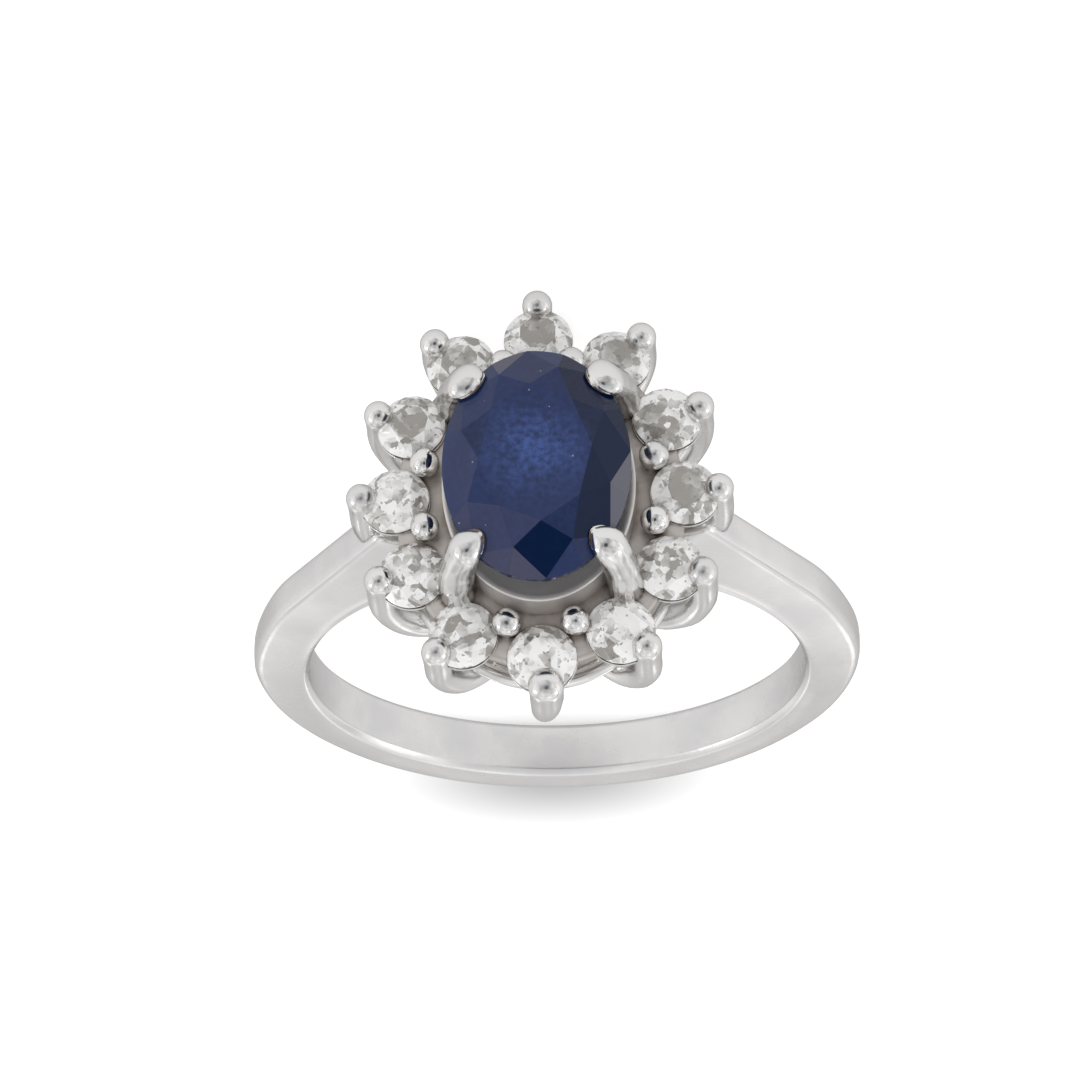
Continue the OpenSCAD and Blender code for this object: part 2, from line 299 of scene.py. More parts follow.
def buildDiamond(look):
    material, tree, shader = newMaterial("clearDiamond")
    place, facet = readPlace(tree), readAttribute(tree, "paintedFacetTone")
    # painted reflections: noisy patches of grey and dark sparks over white, led by the facet tones
    bent = addNode(tree, "ShaderNodeVectorMath", {
        0: addNoise(tree, place, look["bendScale"], output="Color"), 1: [look["bend"]] * 3, 2: place,
    }, operation="MULTIPLY_ADD").outputs["Vector"]
    cell = addNode(tree, "ShaderNodeTexVoronoi", {"Vector": bent, "Scale": look["cellScale"]}).outputs["Color"]
    cellTone = addNode(tree, "ShaderNodeSeparateColor", {"Color": cell}).outputs["Red"]
    cloud = addNoise(tree, place, look["cloudScale"], look["cloudDetail"])
    total = calculate(tree, "MULTIPLY_ADD", cellTone, look["cellShare"], cloud)
    greyReflection = remap(tree, calculate(tree, "ADD", total, facet), look["greyReflectionSpread"], interpolation="SMOOTHSTEP")
    darkReflection = addNoise(tree, place, look["darkReflectionScale"], look["darkReflectionDetail"])
    dark = remap(tree, darkReflection, look["darkReflectionSpread"], (0, look["darkReflectionMost"]))
    tone = blend(tree, dark, blend(tree, greyReflection, look["white"], look["greyReflection"]), look["darkReflection"])
    shadeStone(tree, shader, look, tone)
    # painted light: the diamonds glow faintly in their own tone
    fillSockets(tree, shader, {"Emission Color": tone, "Emission Strength": look["glow"]})
    return material


polishGroup = buildPolishGroup(polishMarks)
occlusionShadeGroup = buildOcclusionShadeGroup(occlusionShadePatches)
whiteGold = buildWhiteGold("whiteGold", metalLook)
clawGold = buildWhiteGold("whiteGoldClaws", clawLook)
bandGold = buildWhiteGold("whiteGoldBand", bandLook)
satinGold = buildWhiteGold("whiteGoldSatin", satinLook)
shadedDeckGold = buildWhiteGold("whiteGoldDeckShaded", shadedDeckLook)
allGold = (whiteGold, clawGold, bandGold, satinGold, shadedDeckGold)
blueSapphire = buildSapphire(sapphireLook)
clearDiamond = buildDiamond(diamondLook)
print("materials ready")


# meshes and pieces

pieces = []
weld = 0.002  # points closer than this merge


def addPiece(name, mesh, material, nodes, smooth=True):
    work = bmesh.new()
    work.from_mesh(mesh)
    bmesh.ops.remove_doubles(work, verts=work.verts, dist=weld)
    bmesh.ops.recalc_face_normals(work, faces=work.faces)
    for face in work.faces:
        face.smooth = smooth
        face.material_index = 0
    work.to_mesh(mesh)
    work.free()
    mesh.materials.clear()
    mesh.materials.append(material)
    mesh.transform(layDown)
    mesh.name = name
    piece = bpy.data.objects.new(name, mesh)
    bpy.context.collection.objects.link(piece)
    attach(piece, "root")
    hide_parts(*nodes)
    pieces.append(piece)
    print("made", name, len(mesh.polygons), "faces")


def handMade(mesh, depth, scale):
    # faint dents, as a file and a polishing wheel leave them
    normals = [v.normal.copy() for v in mesh.vertices]
    for v, normal in zip(mesh.vertices, normals):
        v.co += normal * depth * noise.noise(v.co * scale)
    return mesh


def meshFrom(name, points, faces=(), edges=()):
    mesh = bpy.data.meshes.new(name)
    mesh.from_pydata([tuple(p) for p in points], list(edges), list(faces))
    mesh.update()
    return mesh


def ringFaces(rings, closeAround=True, closeAlong=True, start=0):
    # start: how many points the mesh has before these rings
    count = len(rings[0])
    faces = []
    for i in range(len(rings) if closeAlong else len(rings) - 1):
        low, high = start + i * count, start + (i + 1) % len(rings) * count
        for a in range(count if closeAround else count - 1):
            b = (a + 1) % count
            faces.append((low + a, low + b, high + b, high + a))
    if not closeAlong:
        faces.append(tuple(start + a for a in reversed(range(count))))
        faces.append(tuple(start + (len(rings) - 1) * count + a for a in range(count)))
    return faces


def loftRings(name, rings, closeAround=True):
    return meshFrom(name, [p for ring in rings for p in ring], ringFaces(rings, closeAround))


def softCorners(corners, steps):
    # corners: (u, v, cut), each rounded off over the length cut on both sides, but over less than half an edge
    out = []
    count = len(corners)
    most = 0.48
    for i, (u, v, cut) in enumerate(corners):
        here = Vector((u, v))
        before = Vector(corners[i - 1][:2])
        after = Vector(corners[(i + 1) % count][:2])
        a = here + (before - here).normalized() * min(cut, most * (before - here).length)
        b = here + (after - here).normalized() * min(cut, most * (after - here).length)
        for s in range(steps + 1):
            t = s / steps
            out.append(a * (1 - t) ** 2 + here * 2 * t * (1 - t) + b * t * t)
    return out


# geometry node trees

def newNodeTree(name, inputs):
    tree = bpy.data.node_groups.new(name, "GeometryNodeTree")
    tree.interface.new_socket("Geometry", in_out="INPUT", socket_type="NodeSocketGeometry")
    for label, kind in inputs:
        tree.interface.new_socket(label, in_out="INPUT", socket_type=kind)
    tree.interface.new_socket("Geometry", in_out="OUTPUT", socket_type="NodeSocketGeometry")
    return tree, tree.nodes.new("NodeGroupInput").outputs, tree.nodes.new("NodeGroupOutput")


def closeTree(tree, last, ins, outs):
    real = addNode(tree, "GeometryNodeRealizeInstances", {"Geometry": last})
    paint = addNode(tree, "GeometryNodeSetMaterial", {
        "Geometry": real.outputs["Geometry"], "Material": ins["Material"]})
    tree.links.new(paint.outputs["Geometry"], outs.inputs["Geometry"])


def buildWireTree(name, twist):
    # sweeps a round or flattened wire along each path, as thick as the path says
    tree, ins, outs = newNodeTree(name, [
        ("Width", "NodeSocketFloat"), ("Height", "NodeSocketFloat"), ("Sides", "NodeSocketInt"),
        ("Material", "NodeSocketMaterial")])
    path = addNode(tree, "GeometryNodeMeshToCurve", {"Mesh": ins["Geometry"]})
    turned = addNode(tree, "GeometryNodeSetCurveNormal", {"Curve": path.outputs["Curve"]}, mode=twist)
    size = addNode(tree, "GeometryNodeInputNamedAttribute", {"Name": "wireSize"})
    circle = addNode(tree, "GeometryNodeCurvePrimitiveCircle", {"Radius": 0.5, "Resolution": ins["Sides"]})
    flatten = addNode(tree, "ShaderNodeCombineXYZ", {"X": ins["Width"], "Y": ins["Height"], "Z": 1})
    shape = addNode(tree, "GeometryNodeTransform", {
        "Geometry": circle.outputs["Curve"], "Scale": flatten.outputs["Vector"]})
    sweep = addNode(tree, "GeometryNodeCurveToMesh", {
        "Curve": turned.outputs["Curve"], "Profile Curve": shape.outputs["Geometry"],
        "Scale": size.outputs["Attribute"], "Fill Caps": True})
    closeTree(tree, sweep.outputs["Mesh"], ins, outs)
    return tree


def buildStandTree():
    # stands a copy of the shape on each point, turned as the point says, with sizes that vary a little
    tree, ins, outs = newNodeTree("standOnPoints", [
        ("Shape", "NodeSocketObject"), ("Size Spread", "NodeSocketFloat"), ("Seed", "NodeSocketInt"),
        ("Material", "NodeSocketMaterial")])
    info = addNode(tree, "GeometryNodeObjectInfo", {"Object": ins["Shape"]})
    facing = addNode(tree, "GeometryNodeInputNamedAttribute", {"Name": "facing"}, data_type="FLOAT_VECTOR")
    vary = addNode(tree, "FunctionNodeRandomValue", {
        "Min": calculate(tree, "SUBTRACT", 1, ins["Size Spread"]),
        "Max": calculate(tree, "ADD", 1, ins["Size Spread"]), "Seed": ins["Seed"]}, data_type="FLOAT")
    stand = addNode(tree, "GeometryNodeInstanceOnPoints", {
        "Points": ins["Geometry"], "Instance": info.outputs["Geometry"],
        "Rotation": facing.outputs["Attribute"], "Scale": vary.outputs["Value"]})
    closeTree(tree, stand.outputs["Instances"], ins, outs)
    return tree


def runTree(tree, source, values, attributes):
    holder = bpy.data.objects.new("source", source)
    bpy.context.collection.objects.link(holder)
    for label, (kind, data) in attributes.items():
        layer = source.attributes.new(label, kind, "POINT")
        key = "vector" if kind == "FLOAT_VECTOR" else "value"
        for i, value in enumerate(data):
            setattr(layer.data[i], key, value)
    modifier = holder.modifiers.new("nodes", "NODES")
    modifier.node_group = tree
    for item in tree.interface.items_tree:
        if item.item_type == "SOCKET" and item.in_out == "INPUT" and item.name in values:
            modifier[item.identifier] = values[item.name]
    shown = holder.evaluated_get(bpy.context.evaluated_depsgraph_get())
    mesh = bpy.data.meshes.new_from_object(shown)
    holder.modifiers.remove(modifier)
    bpy.data.objects.remove(holder)
    return mesh


def sweepWires(name, paths, closed, width, height, sides, material):
    # paths: rows of (point, size)
    points, sizes, edges = [], [], []
    for path in paths:
        start = len(points)
        points += [p for p, s in path]
        sizes += [s for p, s in path]
        edges += [(start + i, start + i + 1) for i in range(len(path) - 1)]
        if closed:
            edges.append((start + len(path) - 1, start))
    source = meshFrom(name, points, edges=edges)
    values = {"Width": width, "Height": height, "Sides": sides, "Material": material}
    return runTree(hoopTree if closed else wireTree, source, values, {"wireSize": ("FLOAT", sizes)})


def standShapes(name, shape, spots, spread, seed, material):
    # spots: matrices; the shape stands on each, turned as the matrix turns
    proto = bpy.data.objects.new("shape", shape)
    source = meshFrom(name, [m.translation for m in spots])
    values = {"Shape": proto, "Size Spread": spread, "Seed": seed, "Material": material}
    mesh = runTree(standTree, source, values, {"facing": ("FLOAT_VECTOR", [m.to_euler() for m in spots])})
    bpy.data.objects.remove(proto)
    return mesh


# closed wires lie level; open ones stand upright, where an upward normal would flip
hoopTree = buildWireTree("hoopAlongPath", "Z_UP")
wireTree = buildWireTree("wireAlongPath", "MINIMUM_TWIST")
standTree = buildStandTree()
print("node trees ready")


# band

band = {
    "innerHalf": 0.95, "faceHalf": 0.625, "sideR": 10.09, "baseR": 9.70, "shoulder": 58,
    "flankDrop": 0.8, "flankR": 8.618, "shoulderTop": (5.336, 10.502), "shoulderIn": (3.5, 9.766), "bridgeZ": 9.7,
    "innerBevel": 0.2, "faceRound": 0.27, "baseRound": 0.42, "crown": 0.05, "stations": 360,
    "waist": 0.07,  # how far the sides dip in above the middle
    "flankStart": (0.3, 0.75),  # the flank starts at least this high, and at most at this share of the thickness
    "search": 0.02, "searchSteps": 200,
}


def bandOuterR(turn):
    # the outer face's distance from the middle of the hole, with the turn counted from the head
    t = abs((turn + math.pi) % (2 * math.pi) - math.pi)
    leave = math.radians(band["shoulder"])
    topX, topZ = band["shoulderTop"]
    inX, inZ = band["shoulderIn"]
    if t >= math.pi / 2:
        drop = (band["sideR"] ** 2 - band["baseR"] ** 2) / (2 * band["baseR"])
        r = math.hypot(band["sideR"], drop)
        return drop * math.cos(t) + math.sqrt(r * r - (drop * math.sin(t)) ** 2)
    if t >= leave:
        dip = band["waist"] * math.sin(math.pi * (t - leave) / (math.pi / 2 - leave)) ** 2
        return band["sideR"] - dip
    if t >= math.atan2(topX, topZ):
        return band["sideR"] / math.cos(leave - t)
    if t >= math.atan2(inX, inZ):
        slope = (topZ - inZ) / (topX - inX)
        return (inZ - slope * inX) / (math.cos(t) - slope * math.sin(t))
    return band["bridgeZ"] / math.cos(t)


def buildBand():
    rings = []
    n = band["stations"]
    for i in range(n):
        turn = 2 * math.pi * i / n
        out = Vector((math.sin(turn), 0, math.cos(turn)))
        outer = sum(bandOuterR(turn + d * math.pi / n) for d in (-1.5, -0.5, 0.5, 1.5)) / 4
        t = outer - layout["boreR"]
        drop = band["flankDrop"]

        def halfAt(r):
            p = out * r
            reach = math.hypot(p.x, p.z + drop)
            share = (reach - band["flankR"]) / (band["sideR"] - band["flankR"])
            return band["innerHalf"] - (band["innerHalf"] - band["faceHalf"]) * min(1, max(0, share))

        tries = (i * band["search"] + layout["boreR"] for i in range(band["searchSteps"]))
        flankR = next((r for r in tries if math.hypot(out.x * r, out.z * r + drop) > band["flankR"]), 99)
        least, most = band["flankStart"]
        flankT = min(max(flankR - layout["boreR"], least), most * t)
        low = 0.5 - 0.5 * math.cos(turn)  # 0 at the head, 1 opposite it
        soft = band["faceRound"] + (band["baseRound"] - band["faceRound"]) * low ** 3
        face, flank = halfAt(outer), halfAt(layout["boreR"] + flankT)
        bevel = band["innerBevel"]
        half = band["innerHalf"]
        crown = band["crown"] * (0.4 + low)
        right = [(half - bevel, 0, 0.05), (half, bevel * 0.9, 0.08), (flank, flankT, 0.25),
                 (face, t - crown * 0.5, soft)]
        left = [(-u, v, cut) for u, v, cut in reversed(right)]
        section = softCorners([left[-1], (0, 0, 0.3), *right, (0, t + crown * 0.5, 0.9 * face), *left[:-1]], 4)
        rings.append([out * (layout["boreR"] + v) + Vector((0, u, 0)) for u, v in section])
    return loftRings("band", rings)


addPiece("band", buildBand(), bandGold, ["ring_mount"])


# collet round the large stone, and the deck under the row

collet = {
    "wall": 0.10, "rimTop": 12.97, "deckZ": 11.6, "neckOut": -0.14, "neckZ": 9.2, "holeOut": -1.5, "around": 144,
}
deck = {
    "topZ": 11.86, "thick": 0.36, "edge": 1.62, "nearer": 0.19, "centreOut": -0.2, "around": 144,
    "soften": 0.07, "softSteps": 3, "softDeg": 40,
    "holeR": 0.92, "holeLow": -1.2, "holeHigh": 0.6, "holeSides": 40,
    # the painted occlusion shade is kept per point, so the deck is split finely to carry it
    "fine": 0.22, "splits": 4,  # split until no edge is longer than this, to carry the crevice tone
}


def loftOval(name, profileAt, around):
    # profileAt gives (u, v) rows: how far out from the large stone's edge, and how high
    rings = []
    for i in range(around):
        turn = 2 * math.pi * i / around
        rings.append([ovalPoint(u, turn) + Vector((0, 0, v)) for u, v in profileAt(turn)])
    return loftRings(name, rings)


def buildCollet():
    c, wall, top = collet, collet["wall"], collet["rimTop"]
    profile = softCorners([
        (c["neckOut"], c["neckZ"], 0.05), (c["neckOut"], c["deckZ"], 0.02), (wall - 0.04, c["deckZ"] + 0.02, 0.02),
        (wall - 0.04, top - 0.25, 0.10), (wall, top, 0.07), (wall - 0.17, top, 0.06),
        (-0.25, top - 0.12, 0.12), (-0.9, top - 0.42, 0.12),
        (c["holeOut"], top - 1.2, 0.1), (c["holeOut"], c["neckZ"], 0.05)], 3)
    return loftOval("collet", lambda turn: profile, c["around"])


def deckProfile(turn):
    d = deck
    edge = d["edge"] - d["nearer"] * math.cos(turn)  # it reaches further out on the near side
    low = d["topZ"] - d["thick"]
    return [(d["centreOut"], low), (edge, low), (edge, d["topZ"]), (d["centreOut"], d["topZ"])]


def circlePoints(radius, count, z, stretch=1.0):
    spots = (2 * math.pi * i / count for i in range(count))
    return [Vector((radius * math.cos(a), radius * math.sin(a) * stretch, z)) for a in spots]


def buildDeck():
    d = deck
    points, faces = [], []
    for k in range(stoneCount):
        rings = [[atStone(k) @ p for p in circlePoints(d["holeR"], d["holeSides"], z)]
                 for z in (d["holeLow"], d["holeHigh"])]
        faces += ringFaces(rings, closeAlong=False, start=len(points))
        points += rings[0] + rings[1]
    holder = bpy.data.objects.new("deckPlate", loftOval("deck", deckProfile, d["around"]))
    cutter = bpy.data.objects.new("deckHoles", meshFrom("deckHoles", points, faces))
    for piece in (holder, cutter):
        bpy.context.collection.objects.link(piece)
    cut = holder.modifiers.new("holes", "BOOLEAN")
    cut.object = cutter
    cut.operation = "DIFFERENCE"
    cut.solver = "EXACT"
    soften = holder.modifiers.new("soften", "BEVEL")
    soften.width = d["soften"]
    soften.segments = d["softSteps"]
    soften.angle_limit = math.radians(d["softDeg"])
    mesh = bpy.data.meshes.new_from_object(holder.evaluated_get(bpy.context.evaluated_depsgraph_get()))
    for piece in (holder, cutter):
        bpy.data.objects.remove(piece)
    work = bmesh.new()
    work.from_mesh(mesh)
    for step in range(d["splits"]):
        bmesh.ops.triangulate(work, faces=work.faces)
        long = [e for e in work.edges if e.calc_length() > d["fine"]]
        bmesh.ops.subdivide_edges(work, edges=long, cuts=1)
    bmesh.ops.triangulate(work, faces=work.faces)
    work.to_mesh(mesh)
    work.free()
    return mesh


addPiece("collet", buildCollet(), satinGold, ["ring_mount"])
addPiece("deck", buildDeck(), shadedDeckGold, ["ring_mount"])


# seats of the small stones

seat = {
    "rimR": 1.13, "rimZ": -0.07, "waistR": 1.0, "footR": 0.66, "footZ": -0.84, "holeR": 0.42, "around": 48,
    "sizeSpread": 0.004, "seed": 2,
}


def spinRings(profile, around):
    # profile: (radius, height) rows, turned round the upright axis
    return [[Vector((u * math.cos(t), u * math.sin(t), v)) for u, v in profile]
            for t in (2 * math.pi * i / around for i in range(around))]


def buildSeatShape():
    s, rimR, rimZ = seat, seat["rimR"], seat["rimZ"]
    profile = softCorners([
        (s["holeR"], s["footZ"], 0.04), (s["footR"], s["footZ"], 0.08), (s["waistR"], rimZ - 0.36, 0.15),
        (rimR, rimZ - 0.08, 0.08), (rimR - 0.01, rimZ, 0.04), (rimR - 0.09, rimZ - 0.05, 0.05),
        (0.9, -0.3, 0.1), (s["holeR"], -0.68, 0.08)], 3)
    return loftRings("seatShape", spinRings(profile, s["around"]))


seatSpots = [atStone(k) for k in range(stoneCount)]
seats = standShapes("seats", buildSeatShape(), seatSpots, seat["sizeSpread"], seat["seed"], whiteGold)
addPiece("seats", seats, whiteGold, ["ring_mount"])


# gallery wire, and the rail by the finger that the claws stand on

gallery = {"out": 1.45, "z": 9.62, "width": 0.46, "height": 0.50, "steps": 160, "sides": 24}
rail = {"out": 0.78, "z": 8.72, "width": 0.62, "height": 0.5, "steps": 160, "sides": 20}


def buildHoop(name, hoop, heightAt):
    path = []
    for i in range(hoop["steps"]):
        p = ovalPoint(hoop["out"], 2 * math.pi * i / hoop["steps"])
        p.z = heightAt(p)
        path.append((p, 1.0))
    return sweepWires(name, [path], True, hoop["width"], hoop["height"], hoop["sides"], whiteGold)


def aboveFinger(p):
    return math.sqrt(rail["z"] ** 2 - p.x ** 2)


addPiece("gallery", buildHoop("gallery", gallery, lambda p: gallery["z"]), whiteGold, ["ring_mount"])
addPiece("rail", buildHoop("rail", rail, aboveFinger), whiteGold, ["ring_mount"])


# outer claws: a ball over each small stone's edge, a straight drop, then a curl in under the head

outerClaw = {
    "out": 1.08, "ballZ": 0.33, "ballR": 0.48, "bellyZ": -0.55, "neckR": 0.45, "curlR": 0.43, "outline": 0.50,
    "tuck": 1.72, "clear": 0.56, "domeSteps": 7, "steps": 14, "endSteps": 6, "tip": 0.02, "sides": 32,
    "neckDrop": 0.25, "thinBy": 0.35, "shiftBy": 0.2,  # the last two as shares of the curl
    "endOn": 0.12, "blend": 1.2,
    "dent": 0.02, "dentScale": 1.3,
    "stout": {6: 1.20}, "aside": {6: (-0.12, -0.02)},  # the nearest claw is stouter and set a little aside
}


def smoothStep(t):
    return t * t * (3 - 2 * t)


def clawPath(k):
    # rows: way out, height and radius
    c, here = outerClaw, facingOut(k)
    stout = c["stout"].get(k, 1)
    aside, inward = c["aside"].get(k, (0, 0))
    foot = here @ Vector((0, c["out"] - c["tuck"], 0))
    footZ = math.sqrt((layout["boreR"] + c["clear"]) ** 2 - foot.x ** 2) - layout["rowZ"]
    rows = []
    for i in range(c["domeSteps"] + 1):  # the ball's dome, then a faint neck and the curl
        a = math.pi / 2 * i / c["domeSteps"]
        rows.append((c["out"], c["ballZ"] + c["ballR"] * math.cos(a), max(c["tip"], c["ballR"] * math.sin(a))))
    rows.append((c["out"], c["ballZ"] - c["neckDrop"], (c["ballR"] + c["neckR"]) / 2))
    rows.append((c["out"], (c["ballZ"] + c["bellyZ"]) / 2, c["neckR"]))
    for i in range(c["steps"] + 1):
        share = i / c["steps"]
        q = math.pi / 2 * share
        size = c["neckR"] + (c["curlR"] - c["neckR"]) * smoothStep(min(1, share / c["thinBy"]))
        shift = (c["outline"] - size) * min(1, share / c["shiftBy"])  # the outside of the curl keeps its line
        rows.append((c["out"] - c["tuck"] * (1 - math.cos(q)) + shift * math.cos(q),
                     c["bellyZ"] - (c["bellyZ"] - footZ) * math.sin(q) - shift * math.sin(q), size))
    lastU, lastV = rows[-1][:2]
    for i in range(c["endSteps"] + 1):  # and a rounded end
        a = math.pi / 2 * i / c["endSteps"]
        rows.append((lastU - c["endOn"] - c["curlR"] * math.sin(a), lastV, max(c["tip"], c["curlR"] * math.cos(a))))
    path = []
    for u, v, size in rows:
        upper = min(1, max(0, (v - c["bellyZ"] + c["blend"]) / c["blend"]))
        path.append((here @ Vector((aside * upper, u + inward, v)), 2 * size * (1 + (stout - 1) * upper)))
    return path


clawPaths = [clawPath(k) for k in range(stoneCount)]
claws = handMade(sweepWires("outerClaws", clawPaths, False, 1, 1, outerClaw["sides"], clawGold),
                 outerClaw["dent"], outerClaw["dentScale"])
addPiece("outerClaws", claws, clawGold, ["ring_mount"])


# beads between the small stones, by the collet

bead = {
    "ballR": 0.47, "ballZ": 0.5, "ballDeg": 150, "ballSteps": 12, "inset": 1.141, "stemR": 0.33, "around": 36,
    "stretch": (1.08, 1.06),  # the row of beads is this much wider and longer than the gaps' inset points
    "sizeSpread": 0.03, "seed": 5, "dent": 0.04, "dentScale": 1.9,
}


def buildBeadShape():
    b = bead
    profile = [(0.0, b["ballZ"] + b["ballR"])]
    for i in range(1, b["ballSteps"] + 1):
        a = math.radians(b["ballDeg"]) * i / b["ballSteps"]
        profile.append((b["ballR"] * math.sin(a), b["ballZ"] + b["ballR"] * math.cos(a)))
    profile += [(b["stemR"] * 0.8, 0.02), (b["stemR"], -0.12), (b["stemR"] * 1.15, -0.3)]
    work = bmesh.new()
    work.from_mesh(loftRings("beadShape", spinRings(profile, b["around"]), closeAround=False))
    bmesh.ops.remove_doubles(work, verts=work.verts, dist=weld / 4)
    bmesh.ops.holes_fill(work, edges=[e for e in work.edges if e.is_boundary], sides=0)
    mesh = bpy.data.meshes.new("beadShape")
    work.to_mesh(mesh)
    work.free()
    return mesh


beadSpots = []
for k in beadGaps:
    spot = rowPoint(k, bead["inset"])
    spot.x *= bead["stretch"][0]
    spot.y *= bead["stretch"][1]
    beadSpots.append(Matrix.Translation(spot))
beads = standShapes("beads", buildBeadShape(), beadSpots, bead["sizeSpread"], bead["seed"], whiteGold)
addPiece("beads", handMade(beads, bead["dent"], bead["dentScale"]), whiteGold, ["ring_mount"])


# main claws: leaf shaped, up the collet's corners and over the large stone's edge

mainClaw = {
    # way out from the stone's edge and height, up to the middle of the claw's head
    "path": [(0.74, 11.4), (0.72, 12.2), (0.64, 13.0), (0.46, 13.75), (0.22, 14.40)],
    "shaftWide": 0.60, "shaftDeep": 0.54, "waist": 0.02, "steps": 26, "headSteps": 14, "sides": 40,
    # the heads of the claws near the viewer are pointed leaves, those of the far ones broad and blunt
    "near": {"headWide": 0.58, "headDeep": 0.50, "beak": 0.82, "blunt": 0.66},
    "far": {"headWide": 0.70, "headDeep": 0.46, "beak": 0.72, "blunt": 0.42},
    "gap": 0.03, "crownDeg": 37, "shelf": 0.27, "lift": 0.3,
    "swellFrom": 0.45, "waistAt": 0.72, "waistSpan": 0.08, "sight": 0.02,  # as shares of the path
    "bendBy": 1.6, "tip": 0.02, "overDeg": 29, "dent": 0.045, "dentScale": 1.5,
}


def clawCorner(k):
    t = rowTurn(k)
    sx, sy = math.copysign(1, math.sin(t)), math.copysign(1, math.cos(t))
    corner = Vector((sx * layout["ovalA"], sy * layout["ovalB"], 0)) * math.sin(math.pi / 4)
    way = Vector((sx * layout["ovalB"], sy * layout["ovalA"], 0)).normalized()
    return corner, way


def alongPath(path, t):
    # a smooth curve through the points
    t = min(max(t, 0), 1) * (len(path) - 1)
    i = min(int(t), len(path) - 2)
    f = t - i
    p0, p1, p2, p3 = (Vector(path[min(max(j, 0), len(path) - 1)]) for j in (i - 1, i, i + 1, i + 2))
    square, cube = 2 * p0 - 5 * p1 + 4 * p2 - p3, 3 * p1 - p0 - 3 * p2 + p3
    return 0.5 * (2 * p1 + (p2 - p0) * f + square * f * f + cube * f ** 3)


def clawStations(head):
    # rows of middle, direction, half width and half depth, up the shaft and over the head
    c = mainClaw
    rows = []
    for i in range(c["steps"] + 1):
        t = i / c["steps"]
        swell = smoothStep(max(0, (t - c["swellFrom"]) / (1 - c["swellFrom"])))
        ahead = (alongPath(c["path"], t + c["sight"]) - alongPath(c["path"], t - c["sight"])).normalized()
        pinch = 1 - c["waist"] * math.exp(-((t - c["waistAt"]) / c["waistSpan"]) ** 2) / c["shaftWide"]
        rows.append((alongPath(c["path"], t), ahead,
                     pinch * (c["shaftWide"] + (head["headWide"] - c["shaftWide"]) * swell),
                     pinch * (c["shaftDeep"] + (head["headDeep"] - c["shaftDeep"]) * swell)))
    top, ahead = rows[-1][:2]
    over = math.radians(c["overDeg"])
    for i in range(1, c["headSteps"] + 1):  # the head bends over the stone and comes to a soft point
        s = i / c["headSteps"]
        turned = ahead.lerp(Vector((-math.cos(over), math.sin(over))), min(1, c["bendBy"] * s)).normalized()
        shrink = max(c["tip"], (1 - s ** 2) ** head["blunt"])
        rows.append((top + turned * head["beak"] * s, turned, head["headWide"] * shrink, head["headDeep"] * shrink))
    return rows


def offTheStone(u, v):
    # flat against the stone: lifted to its crown or kept outside its edge
    c = mainClaw
    if u < c["gap"]:
        level = layout["ovalZ"] + c["shelf"] + (c["gap"] - u) * math.tan(math.radians(c["crownDeg"]))
        if v < level:
            return (u, level) if level - v < c["gap"] - u + c["lift"] else (c["gap"], v)
    return u, v


def buildMainClaws():
    points, faces = [], []
    for k in clawGaps:
        corner, way = clawCorner(k)
        side = Vector((-way.y, way.x, 0))
        rings = []
        for here, ahead, wide, deep in clawStations(mainClaw["far"] if way.y > 0 else mainClaw["near"]):
            normal = Vector((ahead.y, -ahead.x))  # away from the stone
            ring = []
            for j in range(mainClaw["sides"]):
                a = 2 * math.pi * j / mainClaw["sides"]
                u, v = offTheStone(here.x + normal.x * deep * math.cos(a), here.y + normal.y * deep * math.cos(a))
                ring.append(corner + way * u + side * (wide * math.sin(a)) + Vector((0, 0, v)))
            rings.append(ring)
        faces += ringFaces(rings, closeAlong=False, start=len(points))
        points += [p for ring in rings for p in ring]
    return meshFrom("mainClaws", points, faces)


mainClaws = handMade(buildMainClaws(), mainClaw["dent"], mainClaw["dentScale"])
addPiece("mainClaws", mainClaws, whiteGold, ["ring_mount"])


# cut stones: crown, girdle and pavilion planes of a brilliant, stretched for the oval

sapphire = {
    "radius": 3.0, "stretch": 4 / 3, "table": 0.6, "crownDeg": 37, "pavilionDeg": 42, "girdle": 0.04,
    "star": 0.55, "lower": 0.24, "culet": 0.03, "around": 96,
    "flatDeg": 1.5, "upright": 0.05,  # facets closer than this are one, and steeper than this belong to the girdle
}
diamond = dict(sapphire, radius=1.1, stretch=1.0, table=0.56, crownDeg=35, pavilionDeg=41, around=48)


